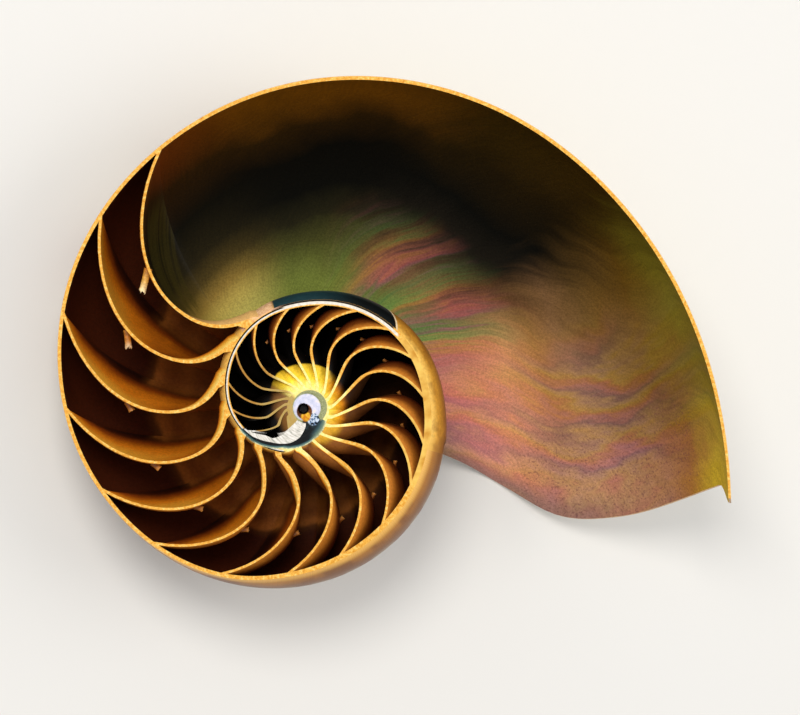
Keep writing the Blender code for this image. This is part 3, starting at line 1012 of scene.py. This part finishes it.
def nacre_material():
    """Mother of pearl of the body chamber: colour drifts along and across the growth lines, with painted
    iridescent sheen in the fan and bands, and a painted dark reflection further in.
    """
    nodes = Nodes("nacre", roughness=0.52, specular=0.05)
    growth = nodes.number("growth")
    height = nodes.number("height")
    across = height.wander(nodes.noise(0.05), 0.16)
    along = (growth + height * FAN_SLANT).wander(nodes.noise(0.03, 2.0), 30.0)
    streaks = nodes.noise(1.6, 5.0, 0.62, 0.4, at=(along * 0.13, across * 2.4, 0.0))
    fine = nodes.noise(1.5, 4.0, 0.7, at=(along * 0.9, across * 5.0, 0.0))
    drift = growth.wander(streaks, 14.0)
    colour = across.ramp(*NACRE_LIP)
    for first, last, stops in NACRE_STAGES:
        colour = drift.rise(first, last).mix(colour, across.ramp(*stops))
    colour = growth.rise(*NACRE_LAST_STAGE).mix(colour, height.ramp(*NACRE_LAST))
    fan_share = across.rise(*FAN_HEIGHTS) * growth.rise(*FAN_ENDS) * growth.rise(*FAN_STARTS)
    fan = (along * 0.045 + streaks * 1.5).fract().ramp(*FAN_SHEEN)
    colour = (fan_share * 0.6 * streaks.rise(0.3, 0.62)).mix(colour, fan)
    slant = height.curve(*SWEEP_SLANT) * growth.rise(-14.0, 14.0)
    sweep_place = (growth + slant) / SWEEP_PERIOD
    sweep_noise = nodes.noise(0.8, 4.0, at=(sweep_place, height * 3.5, 0.0))
    sweep = sweep_place.wander(sweep_noise, 3.8).fract().ramp(*SWEEP_SHEEN)
    sweep_share = growth.rise(*SWEEP_ENDS) * across.rise(*SWEEP_HEIGHTS, 0.08, 0.34)
    colour = sweep_share.mix(colour, sweep)
    rim = growth.rise(*RIM_ENDS) * height.rise(*RIM_HEIGHTS)
    colour = (rim * 0.7).mix(colour, RIM_COLOUR)
    grain = nodes.noise(2.4, 3.0, 0.8)
    colour = colour.shade(fine, 0.90, 1.10).shade(grain, 0.80, 1.20)
    dots = nodes.noise(2.3, 1.0, 0.4).rise(0.58, 0.68)
    dotted = growth.rise(*DOTS_END) * height.within(*DOT_HEIGHTS, 0.08)
    colour = (dots * dotted * 0.45).mix(colour, DOT_COLOUR)
    return nodes.finish(colour, grain.wander(fine, 1.4), 0.2, 0.0003)


def septum_material():
    """Face of the last septum, seen from the body chamber: olive and brown with a painted dark reflection,
    and painted light that turns it gold and tan near the cut.
    """
    nodes = Nodes("last_septum", roughness=0.5, specular=0.1)
    depth = nodes.number("depth")
    height = nodes.number("height")
    cloud = nodes.noise(0.12, 4.0)
    grain = nodes.noise(2.2, 3.0, 0.8)
    across = height.wander(cloud, 0.06)
    colour = across.ramp(*NACRE_LAST)
    stripe = nodes.noise(1.4, 2.0, at=(depth * 0.5, height * 1.5, 0.0)).rise(0.45, 0.62, 0.0, 0.5)
    colour = (height.within(0.56, 0.84, 0.06) * stripe).mix(colour, (58, 50, 14))
    near = across.ramp(
        (0.42, (232, 182, 110)), (0.60, (130, 84, 30)), (0.80, (72, 40, 10)), (0.98, (120, 60, 12)),
    )
    # Painted light: gold to brown within about 11 mm below the cut
    colour = depth.wander(cloud, 5.0).rise(11.0, 0.3).mix(colour, near)
    return nodes.finish(colour.shade(grain, 0.85, 1.15), grain, 0.2)


# The coil's start on the cut. Edges are (angle in degrees, distance from the axis in mm)
CORE_ANGLES = (197.0, 330.0)
CORE_EDGE = ((196.0, 13.9), (210.0, 12.5), (238.0, 9.0), (264.0, 7.3), (286.0, 6.0), (331.0, 4.6))
FILLING_ANGLES = (198.0, 268.0)
FILLING_OUTER_EDGE = ((196.0, 13.2), (206.0, 12.0), (222.0, 9.6), (244.0, 7.4), (257.0, 5.7), (269.0, 3.3))
FILLING_INNER_EDGE = ((196.0, 12.4), (207.0, 9.7), (226.0, 6.0), (230.0, 2.6), (269.0, 2.6))
RING_PIXEL = (309.8, 407.4)
RING_RADIUS = 3.47
PIT_PIXEL = (304.4, 411.5)
PIT_RADIUS = 1.55
AMBER_PIXEL = (305.8, 416.7)
AMBER_RADIUS = 0.95
MARBLED_PIXEL = (313.4, 419.3)
MARBLED_RADIUS = 1.2


def paint_core(nodes, colour):
    """Coil's start: white filling, dark gap, teal edge, pearl ring, a painted shadow below the ring, and the
    hole painted black as shade.
    """
    radius = nodes.radius
    angle = nodes.angle
    cloud = nodes.noise(0.9, 4.0, 0.6)
    grain = nodes.noise(3.5, 3.0, 0.7)
    wavy = radius.wander(cloud, 0.22)
    to_edge = wavy - angle.curve(*CORE_EDGE)
    narrow = (to_edge + 1.0).ramp(
        (0.0, (7, 9, 11)), (0.3, (8, 12, 14)), (0.48, (50, 80, 84)), (0.75, (104, 132, 126)),
        (0.97, (160, 174, 146)),
    )
    broad = ((to_edge + 2.4) * 0.42).ramp(
        (0.0, (7, 10, 12)), (0.3, (22, 34, 38)), (0.55, (52, 80, 84)), (0.8, (104, 126, 108)),
        (0.97, (172, 176, 132)),
    )
    inside = angle.rise(272.0, 300.0).mix(narrow, broad)
    bright_edge = to_edge.within(-0.14, 0.1, 0.06) * 0.8 * grain.rise(0.42, 0.55)
    inside = bright_edge.mix(inside, (232, 224, 170))
    from_inner = wavy - angle.curve(*FILLING_INNER_EDGE)
    to_outer = angle.curve(*FILLING_OUTER_EDGE) - wavy
    filling = angle.within(*FILLING_ANGLES, 2.0) * to_outer.rise(0.0, 0.12) * from_inner.rise(-0.05, 0.1)
    core = angle.within(*CORE_ANGLES, 1.5) * to_edge.rise(0.12, 0.0) * from_inner.rise(-0.1, 0.05)
    colour = core.mix(colour, inside)
    olive = grain.ramp((0.3, (116, 122, 84)), (0.7, (178, 180, 130)))
    colour = nodes.disc(RING_PIXEL, RING_RADIUS, 0.1).mix(colour, olive)
    # Painted shadow on the lower side of the pearl ring
    shadow = cloud.ramp((0.4, (8, 12, 15)), (0.65, (40, 62, 70)))
    colour = (angle.within(258.0, 322.0, 8.0) * radius.rise(4.2, 3.4)).mix(colour, shadow)
    pearl = cloud.ramp((0.35, (194, 198, 222)), (0.55, (222, 220, 238)), (0.7, (242, 228, 212)))
    opened = angle.rise(326.0, 338.0).most(angle.rise(258.0, 246.0))
    colour = (nodes.disc(EMBRYO_PIXEL, EMBRYO_RADIUS, 0.1) * opened).mix(colour, pearl)
    strokes = nodes.noise(2.2, at=(angle * 0.03, radius * 1.2, 0.0))
    white = strokes.ramp((0.3, (164, 166, 156)), (0.45, (212, 206, 194)), (0.6, (242, 236, 228)))
    colour = filling.mix(colour, white)
    marbled = nodes.noise(1.7, 2.0).ramp(
        (0.42, (10, 16, 24)), (0.48, (88, 120, 158)), (0.56, (206, 218, 232)),
    )
    pit = cloud.ramp((0.35, (60, 26, 8)), (0.65, (128, 72, 22)))
    amber = cloud.ramp((0.4, (206, 124, 18)), (0.6, (246, 196, 54)))
    # The hole is painted black as shade
    spots = (
        (MARBLED_PIXEL, MARBLED_RADIUS, 0.15, marbled),
        (PIT_PIXEL, PIT_RADIUS, 0.12, pit),
        (AMBER_PIXEL, AMBER_RADIUS, 0.18, amber),
        (HOLE_PIXEL, HOLE_RADIUS, 0.12, (7, 4, 4)),
    )
    for pixel, spot_radius, soft, paint in spots:
        colour = nodes.disc(pixel, spot_radius, soft).mix(colour, paint)
    return colour


# What lies along the second whorl's outline on the cut, by angle
WHITE_ANGLES = (40.0, 240.0)
GAP_ANGLES = (104.0, 242.0)
FILM_ANGLES = (44.0, 108.0)
PINK_PIXEL = (262.0, 306.0)
PINK_RADIUS = 3.4


def cut_material():
    """Sawn edge: gold, white along the second whorl beside its thin black gap."""
    nodes = Nodes("sawn_edge", roughness=0.45, specular=0.14)
    line = nodes.number("line")
    angle = nodes.angle
    radius = nodes.radius
    grain = nodes.noise(1.5, 4.0, 0.7)
    colour = grain.ramp((0.3, (204, 130, 36)), (0.5, (238, 174, 68)), (0.68, (255, 218, 128)))
    amber = nodes.noise(0.25).ramp((0.35, (204, 142, 48)), (0.6, (240, 196, 96)))
    right_side = angle.rise(40.0, 34.0).most(angle.rise(318.0, 330.0))
    colour = (radius.within(20.0, 28.5, 1.0) * right_side).mix(colour, amber)
    yellow = grain.ramp((0.3, (250, 218, 96)), (0.7, (255, 246, 176)))
    colour = radius.rise(10.5, 8.5).mix(colour, yellow)
    left_small = angle.within(138.0, 330.0, 12.0) * line.rise(-0.6, -1.2) * radius.rise(26.0, 22.0)
    colour = (left_small * 0.75).mix(colour, (150, 108, 48))
    white_end = angle.rise(100.0, 112.0, 0.02, -0.24) - line
    white = angle.within(*WHITE_ANGLES, 2.0) * line.rise(-0.62, -0.42) * white_end.rise(-0.04, 0.0)
    colour = white.mix(colour, grain.ramp((0.3, (206, 200, 186)), (0.7, (250, 244, 232))))
    gap = angle.within(*GAP_ANGLES, 3.0) * line.within(-0.22, 0.02, 0.04)
    film = angle.within(*FILM_ANGLES, 2.0) * line.within(0.08, 0.36, 0.05)
    colour = gap.most(film).mix(colour, (9, 12, 14))
    pink = nodes.disc(PINK_PIXEL, PINK_RADIUS, 1.2) * line.rise(0.0, 0.3)
    colour = (pink * 0.7).mix(colour, (244, 190, 158))
    return nodes.finish(paint_core(nodes, colour), grain, 0.3)


# Outline of the yellow dome of the third whorl: (angle, distance from the axis)
DOME_EDGE = (
    (0.0, 8.8), (30.0, 8.9), (60.0, 9.2), (128.0, 9.3), (150.0, 8.2), (200.0, 6.4), (270.0, 7.6),
    (300.0, 8.4), (360.0, 8.8),
)
# How deep light reaches into the chambers: (number of the chamber, depth)
GLOW_REACH = ((1.0, 38.0), (6.0, 34.0), (9.0, 21.0), (12.0, 12.5), (16.0, 9.0), (20.0, 3.0), (24.0, 1.0))
GLOW_BY_HEIGHT = ((0.0, 0.2), (0.2, 0.13), (0.36, 0.26), (0.55, 0.74), (0.7, 1.02), (0.82, 1.04), (1.0, 0.5))
GLOW_BY_RADIUS = ((8.0, 0.05), (12.0, 0.12), (16.0, 0.5), (20.0, 1.0), (90.0, 1.0))
# Where the colours of a chamber's ends stand, by depth as a share of that reach
GLOW_STOPS = (0.02, 0.2, 0.38, 0.54, 0.70)
# Painted glow and shade of the septa's fronts and backs: bright beside the cut, dark in the depths
FRONT_PAINTED_GLOW = (
    (255, 218, 112), (255, 184, 58), (232, 134, 26), (150, 70, 14), (74, 30, 8), (36, 13, 6),
)
BACK_PAINTED_GLOW = ((196, 120, 40), (120, 60, 18), (100, 46, 14), (84, 34, 10), (60, 22, 8), (40, 13, 6))
# How deep light reaches on the backs and the floors, as a share of its reach on the fronts
BACK_REACH = 0.8
FLOOR_REACH = 0.8
# Radius of the outer turn at angles about the axis, and the share of it where brown lobes start
FIRST_TURN_RADII = ((90.0, 64.0), (150.0, 57.0), (210.0, 47.5), (270.0, 39.5), (330.0, 32.5))
LOBE_EDGE = 0.62
# The large chambers, whose depths are painted brown shade where those of the small ones are painted black
# shade
LARGE_CHAMBERS = (14.0, 9.0)
SMALL_DEPTH_SHADE = (9, 5, 3)


def paint_dome(nodes, colour):
    """Yellow dome of the third whorl where the smallest chambers end: painted glow on its lit part, and
    painted shade on its lower left, in its creases and at its outer edge.
    """
    angle = nodes.angle
    depth = nodes.number("depth")
    lit = angle.rise(150.0, 128.0).most(angle.rise(322.0, 346.0))
    edge_softness = angle.within(62.0, 150.0, 10.0).rise(0.0, 1.0, 1.6, 0.2)
    share = (angle.curve(*DOME_EDGE) - nodes.radius).rise(-0.2, edge_softness)
    far = nodes.radius.rise(4.0, 9.0)
    upper = far.ramp((0.0, (255, 240, 120)), (0.5, (252, 218, 52)), (1.0, (246, 200, 52)))
    right = far.ramp(
        (0.0, (250, 218, 70)), (0.4, (232, 168, 24)), (0.75, (204, 124, 12)), (1.0, (120, 62, 8)),
    )
    # Painted shade in the creases between the septa lines
    crease_shade = nodes.noise(1.0, 2.0, at=(angle * 0.16, depth * 0.25, 0.0))
    yellow = angle.within(66.0, 150.0, 26.0).mix(right, upper).shade(crease_shade, 0.78, 1.12)
    # Painted shade: the lower part darkens with depth below the cut
    orange = (depth * 0.25).ramp((0.0, (226, 168, 44)), (0.5, (150, 92, 16)), (0.95, (40, 20, 6)))
    dark = (depth * 0.5).ramp((0.0, (120, 78, 30)), (0.4, (54, 32, 12)), (0.9, (16, 9, 5)))
    lower = angle.within(288.0, 345.0, 12.0).mix(dark, orange)
    return share.mix(colour, lit.mix(lower, yellow))


def glow_share(nodes, reach):
    """Depth as a share of how deep light reaches at that place."""
    growth = nodes.number("growth")
    reach_here = growth.curve(*GLOW_REACH) * reach * nodes.radius.curve(*GLOW_BY_RADIUS)
    small_left = nodes.angle.within(132.0, 262.0, 14.0) * growth.rise(11.0, 13.0)
    return nodes.number("depth") / (reach_here * small_left.rise(0.0, 1.0, 1.0, 0.28))


def brown_lobes(nodes, cloud):
    """Where the brown lobes of the large chambers lie, and their colour, with painted shade at the crease.
    """
    place = (nodes.radius / nodes.angle.curve(*FIRST_TURN_RADII)).wander(cloud, 0.12)
    folds = nodes.noise(1.0, 1.0, at=(place * 6.0, 0.0, 0.0))
    colour = folds.rise(0.3, 0.7).mix((108, 56, 20), (158, 94, 38))
    # Painted shade along the crease
    crease = place.within(LOBE_EDGE, LOBE_EDGE + 0.03, 0.03)
    colour = (crease * 0.7).mix(colour, (20, 8, 4))
    return place.rise(LOBE_EDGE + 0.04, LOBE_EDGE - 0.02), colour


def chamber_material(name, reach, colours):
    """End of a chamber: painted light, bright beside the cut, fading to painted shade in the depths."""
    nodes = Nodes(name, roughness=0.45, specular=0.15)
    cloud = nodes.noise(0.14, 4.0, 0.6)
    grain = nodes.noise(1.9, 3.0, 0.75)
    share = glow_share(nodes, reach) / nodes.number("height").curve(*GLOW_BY_HEIGHT)
    share = share.wander(cloud, 0.2)
    large = nodes.number("growth").rise(*LARGE_CHAMBERS)
    lobe, lobe_colour = brown_lobes(nodes, cloud)
    # Painted shade in the depths, with the brown lobes over it in the large chambers
    deep = (lobe * large).mix(large.mix(SMALL_DEPTH_SHADE, colours[-1]), lobe_colour)
    colour = share.rise(0.55, 0.9).mix(share.ramp(*zip(GLOW_STOPS, colours)), deep)
    colour = paint_core(nodes, paint_dome(nodes, colour))
    return nodes.finish(colour.shade(grain, 0.86, 1.14), grain, 0.15)


def wall_material():
    """Side walls of the chambers: painted dark shade, black in the small chambers, painted light gold at the
    cut, with brown lobes towards the inner turn.
    """
    nodes = Nodes("chamber_wall", roughness=0.6, specular=0.06)
    grain = nodes.noise(1.6, 3.0, 0.75)
    lobe, lobe_colour = brown_lobes(nodes, nodes.noise(0.07, 2.0))
    colour = lobe.mix((60, 24, 9), lobe_colour)
    # Painted light within a millimetre of the cut, and painted black shade in the small chambers
    colour = nodes.number("depth").rise(1.0, 0.0).mix(colour, (214, 140, 50))
    colour = nodes.number("growth").rise(*LARGE_CHAMBERS).mix((10, 6, 4), colour)
    return nodes.finish(paint_dome(nodes, colour).shade(grain, 0.85, 1.15), grain, 0.2)


def amber_flank(nodes):
    """Amber of the turn beside the mouth, mottled, with painted shade that deepens below the cut."""
    depth = nodes.number("depth").wander(nodes.noise(0.2, 4.0), 1.6)
    amber = (depth * 0.12).ramp(
        (0.0, (240, 190, 90)), (0.2, (204, 144, 50)), (0.45, (156, 100, 28)), (0.7, (108, 64, 18)),
    )
    return nodes.noise(0.16).rise(0.52, 0.66, 0.0, 0.45).mix(amber, (124, 74, 20))


# Turns of the body chamber over which its floor carries a dark film, and how it tapers
FILM_TURNS = (41.5, 107.0)
FILM_TAPER = 1.9
# Turns of the amber behind the film, and of the pale thickening where the last septum starts
AMBER_TURNS = (112.0, 104.0)
CALLUS_TURNS = (109.0, 128.0)


def floor_material():
    """Outer face of the inner turn: dark film, amber beyond it, and painted light in the chambers, gold
    beside the cut and painted shade in the depths.
    """
    nodes = Nodes("inner_turn", roughness=0.36, specular=0.3, coat=0.15)
    depth = nodes.number("depth")
    turn = nodes.number("turn")
    cloud = nodes.noise(0.2, 4.0)
    grain = nodes.noise(1.4, 3.0, 0.7)
    share = glow_share(nodes, FLOOR_REACH).wander(cloud, 0.2)
    large = nodes.number("growth").rise(*LARGE_CHAMBERS)
    # Painted light beside the cut, fading to painted shade deeper in the chambers
    colour = share.ramp((0.0, (250, 196, 96)), (0.2, (206, 136, 44)), (0.55, (120, 66, 16)))
    colour = share.rise(0.4, 1.0).mix(colour, large.mix(SMALL_DEPTH_SHADE, (120, 60, 16)))
    colour = paint_core(nodes, paint_dome(nodes, colour))
    colour = turn.rise(*AMBER_TURNS).mix(colour, amber_flank(nodes))
    film = (depth.wander(cloud, 1.2) * 0.16).ramp(
        (0.0, (12, 18, 20)), (0.35, (8, 11, 12)), (0.8, (34, 62, 66)),
    )
    film = (turn.rise(60.0, 92.0) * 0.55).mix(film, (40, 78, 84))
    start, end = FILM_TURNS
    beyond = turn - start - depth * FILM_TAPER
    colour = (beyond.rise(0.0, 1.0) * turn.rise(end + 1.0, end)).mix(colour, film)
    pale_rim = beyond.within(-0.3, 0.3, 0.4) * turn.rise(60.0, 50.0)
    colour = pale_rim.mix(colour, (236, 214, 176))
    callus = grain.ramp((0.3, (236, 176, 120)), (0.7, (250, 210, 164)))
    colour = turn.within(*CALLUS_TURNS, 2.0).mix(colour, callus)
    return nodes.finish(colour.shade(grain, 0.86, 1.14), grain, 0.2)


# Brown flames per degree of growth, how far they bend, in flames, and the growth where they start
FLAMES_PER_DEGREE = 0.075
FLAME_BEND = 2.6
FLAME_START = (60.0, 130.0)


def outside_material():
    """Outer face: cream with brown flames, amber beside the cut with painted shade deepening below it, and
    painted light along the cut.
    """
    nodes = Nodes("outside", roughness=0.42, specular=0.4, coat=0.15)
    growth = nodes.number("growth")
    depth = nodes.number("depth")
    warp = nodes.noise(0.07, 4.0)
    grain = nodes.noise(1.5, 4.0, 0.7)
    fray = nodes.noise(0.45, 4.0, 0.65)
    waves = growth * FLAMES_PER_DEGREE + warp * FLAME_BEND
    wave = nodes.math("SINE", waves * (2 * math.pi))
    flames = wave.wander(fray, 1.3).wander(grain, 0.5).rise(-0.05, 0.5)
    cream = fray.ramp((0.3, (226, 206, 172)), (0.5, (240, 228, 202)), (0.7, (248, 240, 222)))
    brown = fray.ramp((0.3, (122, 58, 28)), (0.5, (156, 80, 38)), (0.7, (190, 116, 62)))
    old_part = growth.wander(warp, 60.0).rise(*FLAME_START)
    away_from_axis = nodes.number("height").rise(0.22, 0.34)
    colour = (flames * old_part * away_from_axis).mix(cream, brown)
    # Amber with painted shade that deepens below the cut, and brown mottles
    amber = (depth.wander(warp, 4.0) * 0.1).ramp(
        (0.0, (194, 128, 38)), (0.3, (132, 80, 20)), (0.8, (74, 40, 12)),
    )
    amber = nodes.noise(0.13).rise(0.48, 0.62, 0.0, 0.6).mix(amber, (112, 62, 16))
    colour = (depth.rise(11.0, 4.0) * growth.rise(190.0, 230.0)).mix(colour, amber)
    # Painted light: gold along the cut
    colour = depth.rise(1.6, 0.2).mix(colour, (232, 176, 84))
    lines = nodes.noise(1.0, 4.0, at=(growth * 2.4, 0.0, 0.0))
    return nodes.finish(colour.shade(lines, 0.92, 1.06), lines.wander(grain, 0.4), 0.3, 0.0003)


# Colours of the siphon tubes of the first, the second and the other septa, from root to tip
TUBE_COLOURS = (
    ((0.0, (196, 120, 36)), (0.5, (244, 186, 84)), (0.95, (255, 228, 172))),
    ((0.0, (176, 96, 22)), (0.6, (206, 130, 44)), (0.95, (240, 200, 150))),
    ((0.0, (120, 62, 16)), (0.6, (150, 86, 26)), (0.95, (206, 136, 60))),
)


def tube_material():
    nodes = Nodes("siphon_tube", roughness=0.45, specular=0.4, coat=0.1)
    growth = nodes.number("growth")
    grain = nodes.noise(1.6, 3.0, 0.7)
    first, second, others = [nodes.number("band").ramp(*stops) for stops in TUBE_COLOURS]
    colour = growth.rise(2.0, 2.2).mix(first, second)
    colour = growth.rise(2.99, 3.0).mix(colour, others)
    return nodes.finish(colour.shade(grain, 0.7, 1.2), grain, 0.4)


def lip_material():
    """Thin edge of the mouth, amber where it runs onto the inner turn."""
    nodes = Nodes("lip_edge", roughness=0.45, specular=0.3)
    grain = nodes.noise(1.0, 4.0, 0.65)
    colour = grain.ramp((0.3, (176, 130, 88)), (0.7, (226, 190, 140)))
    colour = nodes.radius.rise(36.0, 30.0).mix(colour, amber_flank(nodes))
    return nodes.finish(colour, grain, 0.2)


def shell_materials():
    return {
        "nacre": nacre_material(),
        "septum": septum_material(),
        "cut": cut_material(),
        "front": chamber_material("septum_front", 1.0, FRONT_PAINTED_GLOW),
        "back": chamber_material("septum_back", BACK_REACH, BACK_PAINTED_GLOW),
        "wall": wall_material(),
        "floor": floor_material(),
        "outside": outside_material(),
        "tube": tube_material(),
        "lip": lip_material(),
    }


CAMERA_MIDDLE_PIXEL = (400.0, 357.5)
FRAME_WIDTH_PIXELS = 800.0
LENS = 250.0
SENSOR = 36.0


def make_camera(to_frame):
    """Long lens that looks straight down on the cut face."""
    across, up, level = place_of(CAMERA_MIDDLE_PIXEL)
    distance = FRAME_WIDTH_PIXELS * PIXEL * LENS / SENSOR
    data = bpy.data.cameras.new("camera")
    data.lens = LENS
    data.sensor_width = SENSOR
    data.clip_end = 10.0
    camera = bpy.data.objects.new("camera", data)
    camera.matrix_world = (
        Matrix.Translation(to_frame @ Vector((across, up, distance)))
        @ Euler([math.radians(angle) for angle in REST_TILT]).to_matrix().to_4x4()
    )
    bpy.context.scene.collection.objects.link(camera)
    bpy.context.scene.camera = camera


FLOOR_HALF_WIDTH = 1.5
FLOOR_COLOUR = (226, 224, 220)
FLOOR_ROUGHNESS = 0.8


def make_floor():
    mesh = bpy.data.meshes.new("studio_floor")
    half = FLOOR_HALF_WIDTH
    corners = [(-half, -half, 0), (half, -half, 0), (half, half, 0), (-half, half, 0)]
    mesh.from_pydata(corners, [], [(0, 1, 2, 3)])
    floor = bpy.data.objects.new("studio_floor", mesh)
    bpy.context.scene.collection.objects.link(floor)
    material = bpy.data.materials.new("studio_floor")
    material.use_nodes = True
    surface = material.node_tree.nodes["Principled BSDF"]
    surface.inputs["Base Color"].default_value = linear(*FLOOR_COLOUR)
    surface.inputs["Roughness"].default_value = FLOOR_ROUGHNESS
    mesh.materials.append(material)


# Soft round lamps: name, place, diameter, watts and colour
LAMPS = (
    ("key", (-0.3, 0.45, 1.0), 0.5, 6.2, (1.0, 0.96, 0.9)),
    ("fill", (0.85, 0.1, 0.65), 0.7, 3.6, (1.0, 0.97, 0.92)),
)
LAMP_AIM = (0.0, 0.0, 0.02)
SKY_COLOUR = (0.9, 0.92, 0.95, 1.0)
SKY_STRENGTH = 0.72


def make_lights():
    for name, place, diameter, watts, colour in LAMPS:
        data = bpy.data.lights.new(name, "AREA")
        data.shape = "DISK"
        data.size = diameter
        data.energy = watts
        data.color = colour
        light = bpy.data.objects.new(name, data)
        light.location = place
        aim = Vector(LAMP_AIM) - Vector(place)
        light.rotation_euler = aim.to_track_quat("-Z", "Y").to_euler()
        bpy.context.scene.collection.objects.link(light)
    world = bpy.data.worlds.new("studio")
    world.use_nodes = True
    background = world.node_tree.nodes["Background"]
    background.inputs["Color"].default_value = SKY_COLOUR
    background.inputs["Strength"].default_value = SKY_STRENGTH
    bpy.context.scene.world = world
    bpy.context.scene.view_settings.view_transform = "Standard"


shell, to_frame = make_shell(shell_materials())
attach(shell, "root")
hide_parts(NODE)
make_floor()
make_lights()
make_camera(to_frame)
